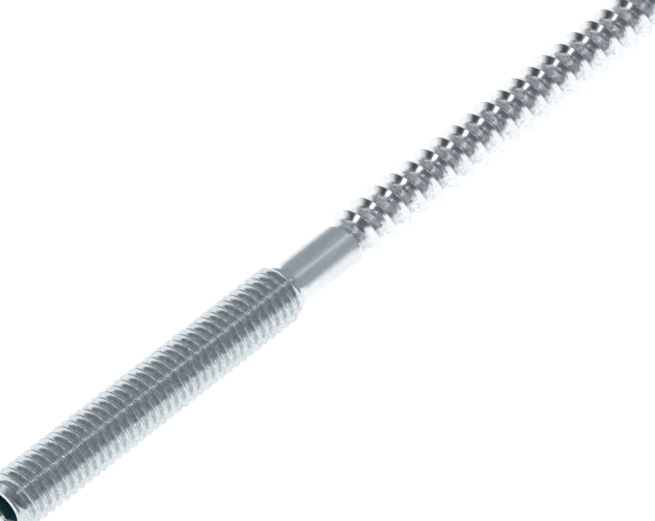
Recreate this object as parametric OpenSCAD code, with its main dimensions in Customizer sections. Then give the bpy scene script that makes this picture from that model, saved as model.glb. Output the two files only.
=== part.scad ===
// Hanger bolt: a machine thread with a hexagon socket in its end, a plain neck,
// and a coarse wood thread that runs out into a gimlet point.
// The bolt lies along +X. The origin is the centre of its socket end face.

/* [Lengths] */
// Overall length, from the socket end face to the tip of the point
total_length = 130; // [110:1:150]
// Distance from the socket end face to the end of the full machine thread
machine_length = 46.6; // [35:0.1:53]
// Length of the hollow shoulder that falls from the machine thread's crest to the neck
shoulder_length = 2.8; // [1.5:0.1:4]
// Distance from the socket end face to the start of the wood thread
wood_start = 57.6; // [52:0.2:70]
// Length of the tapered point
point_length = 11; // [7:0.5:15]

/* [Machine thread] */
// Major diameter
machine_d = 7.95; // [7.8:0.01:8]
// Root diameter
machine_root_d = 6.47; // [6.3:0.01:6.6]
// Pitch
machine_pitch = 1.25; // [1.1:0.05:1.5]
// Width of the flat on the crest
machine_crest = 0.16; // [0.1:0.01:0.25]
// Diameter of the end face inside the chamfer
end_face_d = 6.2; // [5.6:0.1:6.4]

/* [Wood thread] */
// Outside diameter
wood_d = 7.35; // [6.6:0.05:7.6]
// Root diameter
wood_root_d = 4.9; // [4.5:0.05:5.4]
// Pitch
wood_pitch = 2.85; // [2.6:0.05:3.2]
// Width of the edge along the crest
wood_crest = 0.14; // [0.08:0.02:0.3]
// Turns over which the thread grows out of the neck
wood_run_in = 0.8; // [0.6:0.1:2]

/* [Neck] */
// Diameter of the plain neck
neck_d = 5.95; // [5.4:0.05:6.3]

/* [Drive socket] */
// Width across the flats of the hexagon
socket_af = 4; // [3:0.5:4.5]
// Depth of the hexagon
socket_depth = 4; // [2.5:0.5:6]
// Width of the countersink round the mouth, across the corners
socket_mouth_d = 4.9; // [4.7:0.1:5.4]

/* [Hidden] */

MACHINE_FLANK = 30;    // angle of each flank, from the plane across the axis
WOOD_FLANK = 35;
CHAMFER_RISE = 0.65;   // gain of the end chamfer's radius over its length
DRILL_POINT = 118;     // included angle at the bottom of the socket
DRILL_CLEAR = 0.9;     // countersink's small end, as a share of the hexagon's width
OVERRUN = 0.5;         // by which a cut starts outside the metal
STEPS = 20;            // facets round the bolt
MACHINE_STEP = 6;      // facet at which the machine thread starts
WOOD_STEP = 2;         // facet at which the wood thread starts
SHOULDER_RINGS = 6;
TIP_R = 0.12;          // root radius where the thread leaves the point
TIP_REACH = 0.35;      // from there to the very tip
GAP = 0.12;            // between the last ring of a plain stretch and a thread
FADE_TURNS = 0.6;      // over which a thread comes up or dies away

machine_r = machine_d / 2;
machine_root_r = machine_root_d / 2;
wood_r = wood_d / 2;
wood_root_r = wood_root_d / 2;
neck_r = neck_d / 2;
end_face_r = end_face_d / 2;
root_ring_x = (machine_root_r - end_face_r) / CHAMFER_RISE;
root_share = sqrt((machine_root_r - neck_r) / (machine_r - neck_r));
root_end_x = machine_length + shoulder_length * (1 - root_share);
point_start = total_length - point_length;
tip_ring_x = total_length - TIP_REACH;
socket_corner_d = socket_af / cos(30);

// Share of a ramp that is climbed at t, held between 0 and 1
function ramp(t, span) = min(1, max(0, t / span));
function blend(a, b, t) = a + (b - a) * t;

// Point on a ring: ring step, distance along the bolt, radius
function place(step, x, r) =
    let (angle = 360 * (step + 0.5) / STEPS) [x, r * cos(angle), r * sin(angle)];

// One turn of thread as [share of the pitch, height], from one root to the next
function ridge_profile(pitch, height, crest, angle) =
    let (flank = height * tan(angle) / pitch, top = crest / pitch)
    [[0, 0], [flank, 1], [flank + top, 1], [2 * flank + top, 0]];

// The same from the far edge of one crest to the far edge of the next
function groove_profile(pitch, height, crest, angle) =
    let (flank = height * tan(angle) / pitch, top = crest / pitch)
    [[0, 1], [flank, 0], [1 - flank - top, 0], [1 - top, 1]];

// Radius of the hollow shoulder at x
function shoulder_radius(x) =
    blend(neck_r, machine_r, pow(1 - ramp(x - machine_length, shoulder_length), 2));

// Radius of the machine end at x, for a height from 0 (root) to 1 (crest)
function machine_radius(x, height) =
    blend(machine_root_r, min(shoulder_radius(x), end_face_r + CHAMFER_RISE * x), height);

function wood_root_at(x) =
    blend(wood_root_r, TIP_R, ramp(x - point_start, tip_ring_x - point_start));

function wood_crest_at(x) =
    let (taper = ramp(x - point_start, tip_ring_x - point_start),
         full = blend(neck_r, wood_r, ramp(x - wood_start, wood_run_in * wood_pitch)))
    blend(full, TIP_R + 0.3, pow(taper, 1.3));

function wood_radius(x, height) = blend(wood_root_at(x), wood_crest_at(x), height);

// A thread is [start, pitch, turns, profile, first step, radius function, height function].
// The height function fades the profile's height at both ends: (turn, height) -> height.
machine_start = root_ring_x + GAP;
machine_turns = floor((root_end_x - GAP - machine_start) / machine_pitch) - 1;
machine_thread = [
    machine_start, machine_pitch, machine_turns,
    ridge_profile(machine_pitch, machine_r - machine_root_r, machine_crest, MACHINE_FLANK),
    MACHINE_STEP,
    function(x, height) machine_radius(x, height),
    function(turn, height)
        height * ramp(turn, FADE_TURNS) * ramp(machine_turns - turn, FADE_TURNS)
];

wood_turns = floor((tip_ring_x - GAP - wood_start) / wood_pitch) - 1;
wood_thread = [
    wood_start, wood_pitch, wood_turns,
    groove_profile(wood_pitch, wood_r - wood_root_r, wood_crest, WOOD_FLANK), WOOD_STEP,
    function(x, height) wood_radius(x, height),
    function(turn, height)
        (1 - (1 - height) * ramp(turn, FADE_TURNS)) * ramp(wood_turns - turn, FADE_TURNS)
];

function thread_point(thread, step, j) =
    let (turn = step / STEPS,
         x = thread[0] + thread[1] * (turn + thread[3][j][0]),
         height = thread[6](turn, thread[3][j][1]))
    place(step + thread[4], x, thread[5](x, height));

// Every step holds one whole profile, and a last turn of single points closes the far edge
function thread_points(thread) =
    let (last = thread[2] * STEPS)
    [for (step = [0 : last], j = [0 : len(thread[3]) - 1]) thread_point(thread, step, j),
     for (step = [last + 1 : last + STEPS]) thread_point(thread, step, 0)];

// Index of a thread point. The profile's end is the start of the next turn's profile.
function at(thread, base, step, j) =
    let (count = len(thread[3]), last = thread[2] * STEPS)
    j == count ? at(thread, base, step + STEPS, 0)
    : step <= last ? base + step * count + j
    : base + last * count + count + step - last - 1;

function ring_points(x, r) = [for (step = [0 : STEPS - 1]) place(step, x, r)];
function on_ring(base, step) = base + (step + STEPS) % STEPS;

// A four-sided face as two triangles
function quad(a, b, c, d) = [[a, c, b], [a, d, c]];

// Faces between two rings
function ring_faces(near, far) =
    [for (i = [0 : STEPS - 1])
        each quad(on_ring(near, i), on_ring(near, i + 1), on_ring(far, i + 1), on_ring(far, i))];

function thread_faces(thread, base) =
    [for (step = [0 : thread[2] * STEPS - 1], j = [0 : len(thread[3]) - 1])
        each quad(at(thread, base, step, j), at(thread, base, step + 1, j),
                  at(thread, base, step + 1, j + 1), at(thread, base, step, j + 1))];

// Faces from a ring to the first row of a thread
function start_faces(ring, thread, base) =
    let (first = thread[4], corner = at(thread, base, STEPS - 1, 0))
    [for (i = [0 : STEPS - 2])
        each quad(on_ring(ring, first + i), on_ring(ring, first + i + 1),
                  at(thread, base, i + 1, 0), at(thread, base, i, 0)),
     [corner, on_ring(ring, first), on_ring(ring, first - 1)],
     [corner, at(thread, base, 0, 0), on_ring(ring, first)],
     for (j = [0 : len(thread[3]) - 1])
        [corner, at(thread, base, 0, j + 1), at(thread, base, 0, j)]];

// Faces from the last row of a thread to a ring
function end_faces(thread, base, ring) =
    let (first = thread[4], last = thread[2] * STEPS, count = len(thread[3]),
         corner = at(thread, base, last + 1, 0))
    [for (i = [1 : STEPS - 1])
        each quad(at(thread, base, last + i, 0), at(thread, base, last + i + 1, 0),
                  on_ring(ring, first + i + 1), on_ring(ring, first + i)),
     [corner, on_ring(ring, first), on_ring(ring, first + 1)],
     [corner, at(thread, base, last, count), on_ring(ring, first)],
     for (j = [0 : count - 1])
        [corner, at(thread, base, last, j), at(thread, base, last, j + 1)]];

// The bolt without its socket, as one closed surface
module threaded_rod() {
    end_rings = [[0, end_face_r], [root_ring_x, machine_root_r]];
    shoulder = [for (i = [0 : SHOULDER_RINGS])
        let (x = root_end_x + shoulder_length * root_share * i / SHOULDER_RINGS)
        [x, shoulder_radius(x)]];
    neck_rings = concat(shoulder, [[wood_start - GAP, neck_r]]);

    machine_base = len(end_rings) * STEPS;
    neck_base = machine_base + len(thread_points(machine_thread));
    wood_base = neck_base + len(neck_rings) * STEPS;
    tip_base = wood_base + len(thread_points(wood_thread));
    tip = tip_base + STEPS;

    points = concat(
        [for (ring = end_rings) each ring_points(ring[0], ring[1])],
        thread_points(machine_thread),
        [for (ring = neck_rings) each ring_points(ring[0], ring[1])],
        thread_points(wood_thread),
        ring_points(tip_ring_x, TIP_R),
        [[total_length, 0, 0]]);

    faces = concat(
        [[for (i = [0 : STEPS - 1]) i]],
        ring_faces(0, STEPS),
        start_faces(STEPS, machine_thread, machine_base),
        thread_faces(machine_thread, machine_base),
        end_faces(machine_thread, machine_base, neck_base),
        [for (i = [0 : len(neck_rings) - 2])
            each ring_faces(neck_base + i * STEPS, neck_base + (i + 1) * STEPS)],
        start_faces(wood_base - STEPS, wood_thread, wood_base),
        thread_faces(wood_thread, wood_base),
        end_faces(wood_thread, wood_base, tip_base),
        [for (i = [0 : STEPS - 1]) [on_ring(tip_base, i), tip, on_ring(tip_base, i + 1)]]);

    polyhedron(points, faces, convexity = 10);
}

// Hexagon with a drill point below it and a countersink at its mouth
module drive_socket() {
    drill_r = socket_af / 2;
    sink_depth = (socket_mouth_d - DRILL_CLEAR * socket_af) / 2;
    rotate([0, 90, 0]) {
        translate([0, 0, -OVERRUN])
            cylinder(h = socket_depth + OVERRUN, d = socket_corner_d, $fn = 6);
        translate([0, 0, socket_depth])
            cylinder(h = drill_r / tan(DRILL_POINT / 2), r1 = drill_r, r2 = 0, $fn = 48);
        translate([0, 0, -OVERRUN])
            cylinder(h = sink_depth + OVERRUN, d1 = socket_mouth_d + 2 * OVERRUN,
                     d2 = DRILL_CLEAR * socket_af, $fn = 48);
    }
}

module hanger_bolt() {
    color("#b9bec6")
        difference() {
            threaded_rod();
            drive_socket();
        }
}

hanger_bolt();
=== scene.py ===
"""Dresses the hanger bolt: both threads cut true, zinc plate, a pale floor and soft light.

The bolt lies along +X. The origin is the centre of its socket end face. Angles round the
bolt are counted from +Y towards +Z. All sizes are in metres.
"""

import logging
import math
from collections.abc import Callable
from dataclasses import dataclass, field
from enum import Enum

import bmesh
import bpy
from mathutils import Matrix, Vector


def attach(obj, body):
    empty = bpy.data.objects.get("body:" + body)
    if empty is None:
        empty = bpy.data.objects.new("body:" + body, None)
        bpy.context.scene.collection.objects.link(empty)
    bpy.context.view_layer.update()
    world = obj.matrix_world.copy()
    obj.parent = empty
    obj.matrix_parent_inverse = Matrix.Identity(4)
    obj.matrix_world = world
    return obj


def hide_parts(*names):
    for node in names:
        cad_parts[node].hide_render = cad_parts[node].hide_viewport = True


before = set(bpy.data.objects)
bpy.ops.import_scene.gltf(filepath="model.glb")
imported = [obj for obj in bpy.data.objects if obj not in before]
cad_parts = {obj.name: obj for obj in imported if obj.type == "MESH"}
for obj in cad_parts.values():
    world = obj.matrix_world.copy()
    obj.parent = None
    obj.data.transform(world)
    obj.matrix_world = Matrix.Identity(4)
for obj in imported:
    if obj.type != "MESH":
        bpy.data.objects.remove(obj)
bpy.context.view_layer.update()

MM = 0.001
WELD = 0.003 * MM
CURVE_STEPS = 4
# A rounding takes one part of this many of each side, so that two never meet
ARM_PARTS = 2.02
# Pitches of thread band swept before its phase, to be trimmed off or flattened
LEAD_IN = 2.5
SHARP_ANGLE = math.radians(32)
LOG = logging.getLogger("hanger_bolt")

BMesh = bmesh.types.BMesh
Envelope = Callable[[float, float, float], float]


def ramp(value: float, span: float) -> float:
    """Returns the share of a ramp climbed at value, held between 0 and 1."""
    return min(1.0, max(0.0, value / span))


def smooth(value: float, span: float) -> float:
    """Returns ramp(value, span) eased at both ends."""
    t = ramp(value, span)
    return t * t * (3 - 2 * t)


def blend(low: float, high: float, share: float) -> float:
    """Returns the value a share of the way from low to high."""
    return low + (high - low) * share


@dataclass(frozen=True)
class ThreadForm:
    """A screw thread's profile, which repeats each pitch."""

    pitch: float
    root_r: float
    crest_r: float
    crest_width: float
    crest_round: float
    root_round: float
    flank_angle: float = math.radians(30)

    def corners(self) -> list[tuple[float, float, float]]:
        """Lists the profile's corners from one mid-root to the next.

        Returns:
            (x, radius, reach of the rounding) for each corner.
        """
        middle = self.pitch / 2
        top = self.crest_width / 2
        foot = top + (self.crest_r - self.root_r) * math.tan(self.flank_angle)
        return [
            (0.0, self.root_r, 0.0),
            (middle - foot, self.root_r, self.root_round),
            (middle - top, self.crest_r, self.crest_round),
            (middle + top, self.crest_r, self.crest_round),
            (middle + foot, self.root_r, self.root_round),
            (self.pitch, self.root_r, 0.0),
        ]

    def outline(self) -> list[tuple[float, float]]:
        """Rounds the corners with short curves.

        Returns:
            (x, radius) along one pitch, from one mid-root to the next.
        """
        corners = self.corners()
        points = [corners[0][:2]]
        for before, corner, after in zip(corners, corners[1:], corners[2:]):
            tip = Vector(corner[:2])
            arms = [Vector(end[:2]) - tip for end in (before, after)]
            start, end = (
                tip + arm.normalized() * min(corner[2], arm.length / ARM_PARTS) for arm in arms
            )
            for step in range(CURVE_STEPS + 1):
                t = step / CURVE_STEPS
                point = start.lerp(tip, t).lerp(tip.lerp(end, t), t)
                points.append((point.x, point.y))
        points.append(corners[-1][:2])
        return points

    def sweep(self, shape: BMesh, start: float, turns: int, steps: int) -> None:
        """Sweeps the profile into a right-hand helical band.

        Args:
            shape: The mesh that receives the band.
            start: Where the band's first mid-root crosses angle 0.
            turns: Whole turns of the band.
            steps: Faces round one turn.
        """
        verts = [shape.verts.new((start + x, radius, 0.0)) for x, radius in self.outline()]
        edges = [shape.edges.new(pair) for pair in zip(verts, verts[1:])]
        bmesh.ops.spin(
            shape, geom=verts + edges, cent=(0, 0, 0), axis=(1, 0, 0),
            dvec=(self.pitch / steps, 0, 0), angle=math.tau, steps=steps,
            use_merge=False, use_duplicate=False,
        )
        turn = shape.verts[:] + shape.edges[:] + shape.faces[:]
        for count in range(1, turns):
            copy = bmesh.ops.duplicate(shape, geom=turn)["geom"]
            moved = [item for item in copy if isinstance(item, bmesh.types.BMVert)]
            bmesh.ops.translate(shape, verts=moved, vec=(self.pitch * count, 0, 0))
        bmesh.ops.remove_doubles(shape, verts=shape.verts[:], dist=WELD)

    def fit(self, shape: BMesh, start: float, envelope: Envelope) -> None:
        """Moves each point of a swept band to the radius that an envelope gives.

        Args:
            shape: The mesh that holds the band alone.
            start: The start given to sweep.
            envelope: Radius for (x, turn of the groove nearby, height from 0 root to 1 crest).
        """
        for vert in shape.verts:
            x = vert.co.x
            radius = math.hypot(vert.co.y, vert.co.z)
            turn = math.atan2(vert.co.z, vert.co.y) / math.tau
            groove = round((x - start) / self.pitch - turn) + turn
            height = (radius - self.root_r) / (self.crest_r - self.root_r)
            scale = envelope(x, groove, height) / radius
            vert.co.y *= scale
            vert.co.z *= scale


def cut_band(shape: BMesh, low: float, high: float) -> None:
    """Trims a band square at two places along the bolt."""
    for place, side in ((low, -1), (high, 1)):
        bmesh.ops.bisect_plane(
            shape, geom=shape.verts[:] + shape.edges[:] + shape.faces[:], dist=WELD / 10,
            plane_co=(place, 0, 0), plane_no=(side, 0, 0), clear_outer=True,
        )


def rim(shape: BMesh, place: float) -> list[bmesh.types.BMEdge]:
    """Finds the open edges that lie in the plane x = place."""
    return [
        edge for edge in shape.edges
        if edge.is_boundary and all(abs(vert.co.x - place) < WELD for vert in edge.verts)
    ]


@dataclass
class MachineEnd:
    """The machine-threaded end with its chamfer and shoulder."""

    length: float = 46.6 * MM
    phase: float = 0.4 * MM
    end_face_r: float = 3.1 * MM
    chamfer_rise: float = 0.65
    shoulder_length: float = 2.8 * MM
    neck_r: float = 2.975 * MM
    cut: float = 52.6 * MM
    steps: int = 60
    thread: ThreadForm = ThreadForm(
        pitch=1.25 * MM, root_r=3.235 * MM, crest_r=3.975 * MM, crest_width=0.2 * MM,
        crest_round=0.1 * MM, root_round=0.11 * MM,
    )

    def envelope(self, x: float, groove: float, height: float) -> float:
        """Gives the radius of the machine end.

        Args:
            x: Distance from the end face.
            groove: Not used; the machine end's radius does not depend on it.
            height: 0 at the thread's root to 1 at its crest.

        Returns:
            The radius at that point.
        """
        radius = blend(self.thread.root_r, self.thread.crest_r, height)
        past = ramp(x - self.length, self.shoulder_length)
        shoulder = blend(self.neck_r, self.thread.crest_r, (1 - past) ** 2)
        return min(radius, shoulder, self.end_face_r + self.chamfer_rise * max(0.0, x))

    @property
    def start(self) -> float:
        """Where the band's first mid-root crosses angle 0, two turns outside the bolt."""
        return self.phase - LEAD_IN * self.thread.pitch

    def build(self, shape: BMesh) -> None:
        """Adds the threaded band, from the end face to the neck."""
        turns = math.ceil((self.cut - self.start) / self.thread.pitch) + 1
        self.thread.sweep(shape, self.start, turns, self.steps)
        self.thread.fit(shape, self.start, self.envelope)
        cut_band(shape, 0.0, self.cut)


@dataclass
class DriveSocket:
    """The hexagon socket, with a countersunk mouth and a drill point."""

    across_flats: float = 4.0 * MM
    depth: float = 4.0 * MM
    mouth_r: float = 2.45 * MM
    sink_slope: float = 1.0
    sink_rows: int = 12
    corner_angle: float = math.radians(30)
    drill_angle: float = math.radians(59)
    drill_share: float = 0.97
    wall_rows: int = 4
    steps: int = 96

    def hexagon_r(self, angle: float) -> float:
        """Returns the hexagon's radius at an angle round the bolt."""
        side = math.radians(60)
        turn = (angle - self.corner_angle) % side - side / 2
        return self.across_flats / 2 / math.cos(turn)

    def build(self, shape: BMesh) -> None:
        """Adds the socket's wall and bottom, open at x = 0."""
        flat_r = self.across_flats / 2
        sink = (self.mouth_r - flat_r) / self.sink_slope
        wall = [(sink * row / self.sink_rows, self.mouth_r) for row in range(self.sink_rows + 1)]
        wall += [
            (blend(sink, self.depth, (row + 1) / self.wall_rows), self.mouth_r)
            for row in range(self.wall_rows)
        ]
        drilled = self.depth + flat_r / math.tan(self.drill_angle)
        bottom = [(self.depth, flat_r * self.drill_share), (drilled, 0.0)]
        verts = [shape.verts.new((x, radius, 0.0)) for x, radius in wall + bottom]
        edges = [shape.edges.new(pair) for pair in zip(verts, verts[1:])]
        bmesh.ops.spin(
            shape, geom=verts + edges, cent=(0, 0, 0), axis=(1, 0, 0), angle=math.tau,
            steps=self.steps, use_merge=True, use_duplicate=False,
        )
        bmesh.ops.remove_doubles(shape, verts=shape.verts[:], dist=WELD)
        for vert in shape.verts:
            radius = math.hypot(vert.co.y, vert.co.z)
            if radius > flat_r:
                sunk = self.mouth_r - vert.co.x * self.sink_slope
                wanted = max(sunk, self.hexagon_r(math.atan2(vert.co.z, vert.co.y)))
                vert.co.y *= wanted / radius
                vert.co.z *= wanted / radius


@dataclass
class WoodEnd:
    """The wood-threaded end, from the neck to the point."""

    thread_start: float = 57.6 * MM
    phase: float = 57.14 * MM
    total_length: float = 130.0 * MM
    point_length: float = 11.0 * MM
    tip_ring: float = 0.35 * MM
    tip_r: float = 0.12 * MM
    neck_r: float = 2.975 * MM
    cut: float = 53.4 * MM
    run_in_turns: float = 0.8
    groove_in_turns: float = 0.25
    crest_taper: float = 1.4
    steps: int = 72
    thread: ThreadForm = ThreadForm(
        pitch=2.85 * MM, root_r=2.45 * MM, crest_r=3.675 * MM, crest_width=0.08 * MM,
        crest_round=0.04 * MM, root_round=0.55 * MM, flank_angle=math.radians(35),
    )

    @property
    def start(self) -> float:
        """Where the band's first mid-root crosses angle 0, on the neck."""
        return self.phase - LEAD_IN * self.thread.pitch

    def envelope(self, x: float, groove: float, height: float) -> float:
        """Gives the radius of the wood end.

        Args:
            x: Distance from the end face.
            groove: Turns from the band's start, along the nearest groove.
            height: 0 at the thread's root to 1 at its crest.

        Returns:
            The radius at that point.
        """
        pitch = self.thread.pitch
        place = self.start + groove * pitch
        rise = ramp(x - self.thread_start, self.run_in_turns * pitch)
        crest = blend(self.neck_r, self.thread.crest_r, rise)
        root = self.thread.root_r
        tip = self.total_length - self.tip_ring
        taper = ramp(x - (tip - self.point_length), self.point_length)
        root = blend(root, self.tip_r, taper)
        crest = blend(crest, self.tip_r, taper ** self.crest_taper)
        opened = smooth(place - self.thread_start, self.groove_in_turns * pitch)
        return blend(crest, root, (1 - height) * opened)

    def build(self, shape: BMesh) -> None:
        """Adds the threaded band from the neck to the ring round the tip."""
        ring = self.total_length - self.tip_ring
        turns = math.ceil((ring - self.start) / self.thread.pitch) + 1
        self.thread.sweep(shape, self.start, turns, self.steps)
        self.thread.fit(shape, self.start, self.envelope)
        cut_band(shape, self.cut, ring)


Colour = tuple[float, float, float]
Given = bpy.types.NodeSocket | float
Shade = bpy.types.NodeSocket | Colour


class Tree:
    """A node tree, with short ways to add the nodes that the finishes and the studio share."""

    def __init__(self, tree: bpy.types.NodeTree) -> None:
        """Keeps the tree's nodes and links."""
        self.nodes = tree.nodes
        self.links = tree.links

    def add(self, kind: str, given: dict[int | str, Given] | None = None) -> bpy.types.Node:
        """Adds a node and fills its inputs.

        Args:
            kind: The node's type.
            given: A socket or a number for each input, by number or name.

        Returns:
            The new node.
        """
        node = self.nodes.new(kind)
        for slot, value in (given or {}).items():
            if isinstance(value, bpy.types.NodeSocket):
                self.links.new(value, node.inputs[slot])
            else:
                node.inputs[slot].default_value = value
        return node

    def maths(self, operation: str, *given: Given) -> bpy.types.NodeSocket:
        """Adds a Math node.

        Args:
            operation: What the node does.
            given: Its inputs, in order.

        Returns:
            The socket that gives the result.
        """
        node = self.add("ShaderNodeMath", dict(enumerate(given)))
        node.operation = operation
        return node.outputs[0]

    def spread(
        self, value: Given, source: tuple[float, float], target: tuple[float, float],
    ) -> bpy.types.NodeSocket:
        """Maps a value from one range to another, and holds it inside.

        Args:
            value: The value to map.
            source: Its range.
            target: The range that it is mapped to.

        Returns:
            The socket that gives the result.
        """
        node = self.add("ShaderNodeMapRange", {0: value, 1: source[0], 2: source[1]})
        node.inputs[3].default_value, node.inputs[4].default_value = target
        return node.outputs[0]

    def blend(self, share: Given, low: Given, high: Given) -> bpy.types.NodeSocket:
        """Mixes two numbers.

        Args:
            share: The share of the second.
            low: The first.
            high: The second.

        Returns:
            The socket that gives the result.
        """
        return self.add("ShaderNodeMix", {0: share, 2: low, 3: high}).outputs[0]

    def tint(
        self, share: Given, low: Shade, high: Shade, mode: str = "MIX",
    ) -> bpy.types.NodeSocket:
        """Mixes two colours.

        Args:
            share: The share of the second.
            low: The first.
            high: The second.
            mode: How they are mixed.

        Returns:
            The socket that gives the colour.
        """
        node = self.add("ShaderNodeMix", {0: share})
        node.data_type = "RGBA"
        node.blend_type = mode
        for slot, colour in ((6, low), (7, high)):
            if isinstance(colour, tuple):
                node.inputs[slot].default_value = (*colour, 1)
            else:
                self.links.new(colour, node.inputs[slot])
        return node.outputs[2]

    def noise(
        self, place: bpy.types.NodeSocket, scale: float, detail: float,
    ) -> bpy.types.NodeSocket:
        """Adds a noise pattern.

        Args:
            place: Coordinates that the pattern reads.
            scale: Patterns to the metre.
            detail: Octaves of finer noise.

        Returns:
            The socket that gives the noise, from 0 to 1.
        """
        node = self.add("ShaderNodeTexNoise", {"Vector": place, "Scale": scale, "Detail": detail})
        return node.outputs["Fac"]

    def stretched(
        self, place: bpy.types.NodeSocket, scale: tuple[float, float, float],
    ) -> bpy.types.NodeSocket:
        """Scales coordinates along each axis.

        Args:
            place: The coordinates.
            scale: The factor along X, Y and Z.

        Returns:
            The socket that gives the scaled coordinates.
        """
        node = self.add("ShaderNodeVectorMath", {0: place})
        node.operation = "MULTIPLY"
        node.inputs[1].default_value = scale
        return node.outputs[0]


@dataclass(frozen=True)
class ZincPlate:
    """Bright zinc plate, mottled and drawn, with shade painted into the socket and onto the machine
    thread.
    """

    name: str = "zinc_plate"
    pale: Colour = (0.87, 0.885, 0.88)
    dull: Colour = (0.76, 0.79, 0.795)
    rough_pale: Colour = (0.95, 0.955, 0.955)
    rough_dull: Colour = (0.57, 0.59, 0.60)
    # Darker, bluer tint for the machine thread: painted shade of its tight grooves, with a bluer
    # tone.
    machine: Colour = (0.805, 0.84, 0.857)
    # Dark non-metal colour inside the socket: painted shade of the recess, not the plate's own
    # colour.
    painted_socket_shade: Colour = (0.05, 0.14, 0.19)
    machine_end: tuple[float, float] = (46.8 * MM, 49.0 * MM)
    bore_r: float = 2.44 * MM
    bore_start: float = 0.4 * MM
    neck: tuple[float, float] = (48.6 * MM, 58.2 * MM)
    neck_edge: float = 0.5 * MM
    root: tuple[float, float] = (2.6 * MM, 3.0 * MM)
    machine_mottle: float = 0.35
    mottle_scale: float = 1900.0
    mottle_detail: float = 4.0
    mottle_reach: tuple[float, float] = (0.36, 0.64)
    grain_scale: float = 4200.0
    grain_gain: float = 4.0
    grain_drop: float = 2.0
    streak_scale: tuple[float, float, float] = (120.0, 1600.0, 1600.0)
    streak_reach: tuple[float, float] = (0.4, 0.6)
    fine_detail: float = 3.0
    flank_roughness: float = 0.16
    root_roughness: float = 0.4
    neck_roughness: float = 0.34
    flank_bump: float = 0.08
    root_bump: float = 0.4
    bump_depth: float = 0.03 * MM

    def material(self) -> bpy.types.Material:
        """Returns the material, patterned on object coordinates."""
        made = bpy.data.materials.new(self.name)
        made.use_nodes = True
        tree = Tree(made.node_tree)
        shader = tree.nodes["Principled BSDF"]
        place = tree.add("ShaderNodeTexCoord").outputs["Object"]
        along = tree.add("ShaderNodeSeparateXYZ", {0: place}).outputs["X"]
        across = tree.add("ShaderNodeVectorMath", {0: tree.stretched(place, (0.0, 1.0, 1.0))})
        across.operation = "LENGTH"
        # Mask of the socket's inside, where painted shade takes the place of the metal.
        inside = tree.maths("LESS_THAN", across.outputs["Value"], self.bore_r)
        deep = tree.spread(along, (self.bore_start / 2, self.bore_start), (0, 1))
        near = tree.maths("LESS_THAN", along, self.neck[0] / 2)
        painted_socket_shade = tree.maths("MULTIPLY", tree.maths("MULTIPLY", inside, deep), near)
        low, high = self.neck
        neck = tree.maths(
            "MULTIPLY",
            tree.spread(along, (low - self.neck_edge, low + self.neck_edge), (0, 1)),
            tree.spread(along, (high - self.neck_edge / 4, high + self.neck_edge / 4), (1, 0)),
        )
        ended = tree.spread(along, self.machine_end, (1, 0))
        root = tree.spread(across.outputs["Value"], self.root, (1, 0))
        rolled = tree.blend(ended, root, self.machine_mottle)

        grain = tree.noise(place, self.grain_scale, self.fine_detail)
        mottle = tree.noise(place, self.mottle_scale, self.mottle_detail)
        mottle = tree.spread(mottle, self.mottle_reach, (0, 1))
        streaks = tree.noise(tree.stretched(place, self.streak_scale), 1.0, self.fine_detail)
        streaks = tree.spread(streaks, self.streak_reach, (0, 1))
        drop = tree.maths("SUBTRACT", streaks, self.grain_drop)
        drawn = tree.maths("MULTIPLY_ADD", grain, self.grain_gain, drop)
        pattern = tree.blend(neck, mottle, drawn)
        metal = tree.tint(
            rolled, tree.tint(pattern, self.dull, self.pale),
            tree.tint(pattern, self.rough_dull, self.rough_pale),
        )
        # The machine thread is multiplied darker and bluer: painted shade of its grooves, with a
        # bluer tone.
        darker = tree.tint(ended, (1.0, 1.0, 1.0), self.machine)
        metal = tree.tint(1.0, metal, darker, "MULTIPLY")
        # Inside the socket the metal gives way to a dark non-metal colour: painted shade of the
        # recess.
        metal = tree.tint(painted_socket_shade, metal, self.painted_socket_shade)
        tree.links.new(metal, shader.inputs["Base Color"])
        tree.links.new(tree.maths("SUBTRACT", 1.0, painted_socket_shade), shader.inputs["Metallic"])

        worn = tree.maths("MULTIPLY", rolled, mottle)
        rough = tree.blend(worn, self.flank_roughness, self.root_roughness)
        tree.links.new(tree.blend(neck, rough, self.neck_roughness), shader.inputs["Roughness"])

        height = tree.blend(neck, mottle, tree.maths("ADD", grain, streaks))
        bump = tree.add("ShaderNodeBump", {"Height": height})
        tree.links.new(tree.blend(rolled, self.flank_bump, self.root_bump), bump.inputs["Strength"])
        bump.inputs["Distance"].default_value = self.bump_depth
        tree.links.new(bump.outputs["Normal"], shader.inputs["Normal"])
        return made


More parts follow.
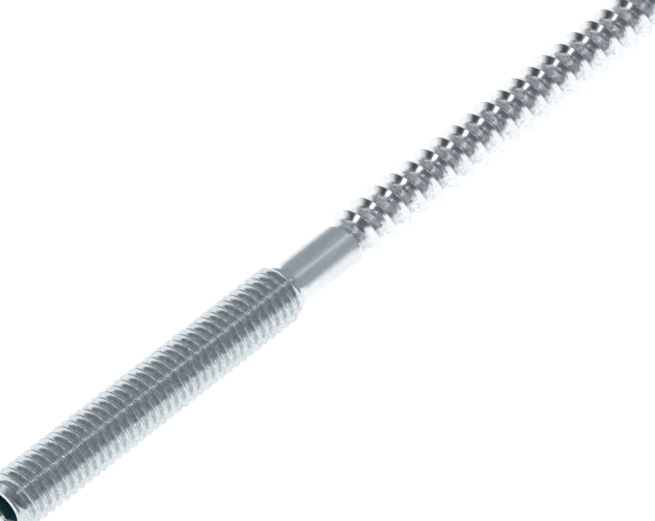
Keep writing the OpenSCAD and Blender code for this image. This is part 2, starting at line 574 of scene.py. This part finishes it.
@dataclass
class HangerBolt:
    """The whole bolt as one closed mesh."""

    machine: MachineEnd = field(default_factory=MachineEnd)
    socket: DriveSocket = field(default_factory=DriveSocket)
    wood: WoodEnd = field(default_factory=WoodEnd)
    finish: ZincPlate = ZincPlate()

    def part(self, build: Callable[[BMesh], None], whole: BMesh) -> None:
        """Builds one stretch on its own and adds it to the whole.

        Args:
            build: Adds the stretch to an empty mesh.
            whole: The mesh that receives it.
        """
        alone = bmesh.new()
        build(alone)
        carrier = bpy.data.meshes.new("stretch")
        alone.to_mesh(carrier)
        alone.free()
        whole.from_mesh(carrier)
        bpy.data.meshes.remove(carrier)

    def join(self, shape: BMesh) -> None:
        """Closes the bolt: end face, neck and tip."""
        bmesh.ops.triangle_fill(shape, edges=rim(shape, 0.0), use_beauty=True, normal=(-1, 0, 0))
        neck = rim(shape, self.machine.cut) + rim(shape, self.wood.cut)
        bmesh.ops.bridge_loops(shape, edges=neck)
        ring = rim(shape, self.wood.total_length - self.wood.tip_ring)
        cone = bmesh.ops.extrude_edge_only(shape, edges=ring)["geom"]
        tip = [item for item in cone if isinstance(item, bmesh.types.BMVert)]
        bmesh.ops.pointmerge(shape, verts=tip, merge_co=(self.wood.total_length, 0, 0))

    def build(self) -> bpy.types.Object:
        """Builds, closes and dresses the bolt.

        Returns:
            The finished object, in the scene.
        """
        whole = bmesh.new()
        for stretch in (self.machine, self.socket, self.wood):
            self.part(stretch.build, whole)
        self.join(whole)
        bmesh.ops.recalc_face_normals(whole, faces=whole.faces[:])
        loose = sum(not edge.is_manifold for edge in whole.edges)
        LOG.info("open or doubled edges: %d", loose)
        for face in whole.faces:
            face.smooth = True
        mesh = bpy.data.meshes.new("hanger_bolt_steel")
        whole.to_mesh(mesh)
        whole.free()
        mesh.set_sharp_from_angle(angle=SHARP_ANGLE)
        mesh.materials.append(self.finish.material())
        piece = bpy.data.objects.new("hanger_bolt_steel", mesh)
        bpy.context.scene.collection.objects.link(piece)
        return piece


class Ray(Enum):
    """Rays that meet the floor and the surround."""

    CAMERA = "Is Camera Ray"
    GLOSSY = "Is Glossy Ray"
    TRANSMISSION = "Is Transmission Ray"


@dataclass
class Studio:
    """A white floor, a low white surround, a darker ceiling and soft lamps."""

    floor_z: float = -3.975 * MM
    floor_size: float = 8.0
    seen_glow: float = 0.95
    floor_colour: float = 0.5
    surround_top: float = 0.0
    surround_edge: float = 0.06
    lift: float = 0.17
    lift_end: tuple[float, float] = (-0.7, -0.3)
    lift_side: tuple[float, float] = (0.1, 0.4)
    surround_white: Colour = (1.0, 1.0, 1.0)
    ceiling: Colour = (0.345, 0.380, 0.425)
    dim_end: Colour = (0.125, 0.135, 0.155)
    dim_reach: tuple[float, float] = (-0.78, -0.45)
    dark_side: Colour = (0.014, 0.017, 0.024)
    dark_reach: tuple[float, float] = (0.23, 0.36)
    strip_size: tuple[float, float] = (2.4, 0.045)
    strip_glow: float = 3.8
    panel_reach: float = 1.2
    centre: Vector = field(default_factory=lambda: Vector((80 * MM, 0, 0)))

    def floor(self) -> bpy.types.Object:
        """Builds the floor: as bright in the metal as to the camera, so its shadow hardly shows.

        Returns:
            The floor, in the scene.
        """
        shape = bmesh.new()
        bmesh.ops.create_grid(shape, x_segments=1, y_segments=1, size=self.floor_size / 2)
        bmesh.ops.translate(shape, verts=shape.verts[:], vec=(0, 0, self.floor_z))
        mesh = bpy.data.meshes.new("floor")
        shape.to_mesh(mesh)
        shape.free()
        made = bpy.data.materials.new("floor_white")
        made.use_nodes = True
        tree = Tree(made.node_tree)
        tree.nodes.remove(tree.nodes["Principled BSDF"])
        paint = tree.add("ShaderNodeBsdfDiffuse", {0: (*(self.floor_colour,) * 3, 1)})
        path = tree.add("ShaderNodeLightPath")
        glossy, through = (path.outputs[ray.value] for ray in (Ray.GLOSSY, Ray.TRANSMISSION))
        mirror = tree.maths("MAXIMUM", glossy, through)
        shown = tree.maths("MAXIMUM", path.outputs[Ray.CAMERA.value], mirror)
        strength = tree.maths("MULTIPLY", shown, self.seen_glow)
        glow = tree.add("ShaderNodeEmission", {"Strength": strength})
        both = tree.add("ShaderNodeAddShader")
        for slot, part in enumerate((paint, glow)):
            tree.links.new(part.outputs[0], both.inputs[slot])
        tree.links.new(both.outputs[0], tree.nodes["Material Output"].inputs["Surface"])
        mesh.materials.append(made)
        floor = bpy.data.objects.new("floor", mesh)
        bpy.context.scene.collection.objects.link(floor)
        return floor

    def surround(self) -> None:
        """Sets the world: white to the camera, and to the metal white low down and dark above."""
        world = bpy.data.worlds.new("surround")
        bpy.context.scene.world = world
        world.use_nodes = True
        tree = Tree(world.node_tree)
        way = tree.add("ShaderNodeTexCoord").outputs["Generated"]
        along, aside, up = tree.add("ShaderNodeSeparateXYZ", {0: way}).outputs
        lift = tree.maths(
            "MULTIPLY", tree.spread(along, self.lift_end, (self.lift, 0)),
            tree.spread(aside, self.lift_side, (0, 1)),
        )
        rise = tree.maths("SUBTRACT", up, lift)
        edges = (self.surround_top - self.surround_edge, self.surround_top + self.surround_edge)
        height = tree.spread(rise, edges, (0, 1))
        dark = tree.tint(tree.spread(aside, self.dark_reach, (0, 1)), self.dim_end, self.dark_side)
        room = tree.tint(tree.spread(along, self.dim_reach, (1, 0)), self.ceiling, dark)
        sky = tree.tint(height, self.surround_white, room)
        camera = tree.add("ShaderNodeLightPath").outputs[Ray.CAMERA.value]
        shown = tree.tint(camera, sky, (1.0, 1.0, 1.0))
        tree.links.new(shown, tree.nodes["Background"].inputs["Color"])
        tree.nodes["Background"].inputs["Strength"].default_value = 1.0

    def lamp(self, name: str, size: tuple[float, float], glow: float) -> bpy.types.Object:
        """Adds a soft rectangular lamp.

        Args:
            name: The lamp's name.
            size: Its width and height.
            glow: How bright its face looks, where 1 is white.

        Returns:
            The lamp, at the origin and facing down.
        """
        light = bpy.data.lights.new(name, "AREA")
        light.shape = "RECTANGLE"
        light.size, light.size_y = size
        light.energy = glow * math.pi * size[0] * size[1]
        lamp = bpy.data.objects.new(name, light)
        bpy.context.scene.collection.objects.link(lamp)
        return lamp

    def strip(self, along: float, angle: float, reach: float) -> None:
        """Adds a long narrow lamp that lies parallel to the bolt.

        Args:
            along: Its place along the bolt.
            angle: Its angle round the bolt, in degrees.
            reach: Its distance from the axis.
        """
        turn = math.radians(angle)
        lamp = self.lamp("strip_lamp", self.strip_size, self.strip_glow)
        lamp.location = (along, reach * math.cos(turn), reach * math.sin(turn))
        lamp.rotation_euler = (turn - math.radians(90), 0, 0)

    def panel(
        self, name: str, azimuth: float, elevation: float, size: tuple[float, float], glow: float,
    ) -> None:
        """Adds a lamp that faces the middle of the bolt.

        Args:
            name: The lamp's name.
            azimuth: Its direction from +X towards +Y, in degrees.
            elevation: Its height over the floor, in degrees.
            size: Its width and height.
            glow: How bright its face looks, where 1 is white.
        """
        flat, tall = math.radians(azimuth), math.radians(elevation)
        level = math.cos(tall)
        way = Vector((level * math.cos(flat), level * math.sin(flat), math.sin(tall)))
        lamp = self.lamp(name, size, glow)
        lamp.location = self.centre + way * self.panel_reach
        lamp.rotation_euler = (math.radians(90) - tall, 0, flat + math.radians(90))

    def build(self) -> None:
        """Builds the floor, the surround and the lamps."""
        self.floor()
        self.surround()
        self.strip(along=0.6, angle=104.0, reach=1.35)
        self.panel("glint_lamp", azimuth=168.6, elevation=17.6, size=(0.17, 0.24), glow=2.4)
        self.panel("crest_lamp", azimuth=148.0, elevation=33.0, size=(0.85, 0.34), glow=0.8)


@dataclass
class ViewPoint:
    """The camera: where it aims on the bolt, from which side and how far."""

    aim: Vector = field(default_factory=lambda: Vector((55 * MM, -0.38 * MM, -0.22 * MM)))
    azimuth: float = math.radians(45.6)
    elevation: float = math.radians(49.9)
    distance: float = 0.5452
    lens_mm: float = 238.9
    sensor_mm: float = 36.0
    clip: tuple[float, float] = (0.01, 50.0)

    def build(self) -> bpy.types.Object:
        """Places the camera, level, and makes it the scene's own.

        Returns:
            The camera, in the scene.
        """
        data = bpy.data.cameras.new("camera")
        data.lens = self.lens_mm
        data.sensor_fit = "HORIZONTAL"
        data.sensor_width = self.sensor_mm
        data.clip_start, data.clip_end = self.clip
        camera = bpy.data.objects.new("camera", data)
        look = Matrix.Rotation(-self.azimuth, 4, "Z") @ Matrix.Rotation(
            math.pi / 2 - self.elevation, 4, "X"
        )
        camera.matrix_world = Matrix.Translation(
            self.aim + look @ Vector((0, 0, self.distance))
        ) @ look
        bpy.context.scene.collection.objects.link(camera)
        bpy.context.scene.camera = camera
        return camera


def main() -> None:
    """Builds the bolt and its studio, and reports each piece."""
    logging.basicConfig(level=logging.INFO, format="%(name)s: %(message)s")
    bpy.context.scene.view_settings.view_transform = "Standard"
    ViewPoint().build()
    Studio().build()
    piece = HangerBolt().build()
    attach(piece, "root")
    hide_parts("hanger_bolt")
    LOG.info("%s: %d faces", piece.name, len(piece.data.polygons))


if __name__ == "__main__":
    main()
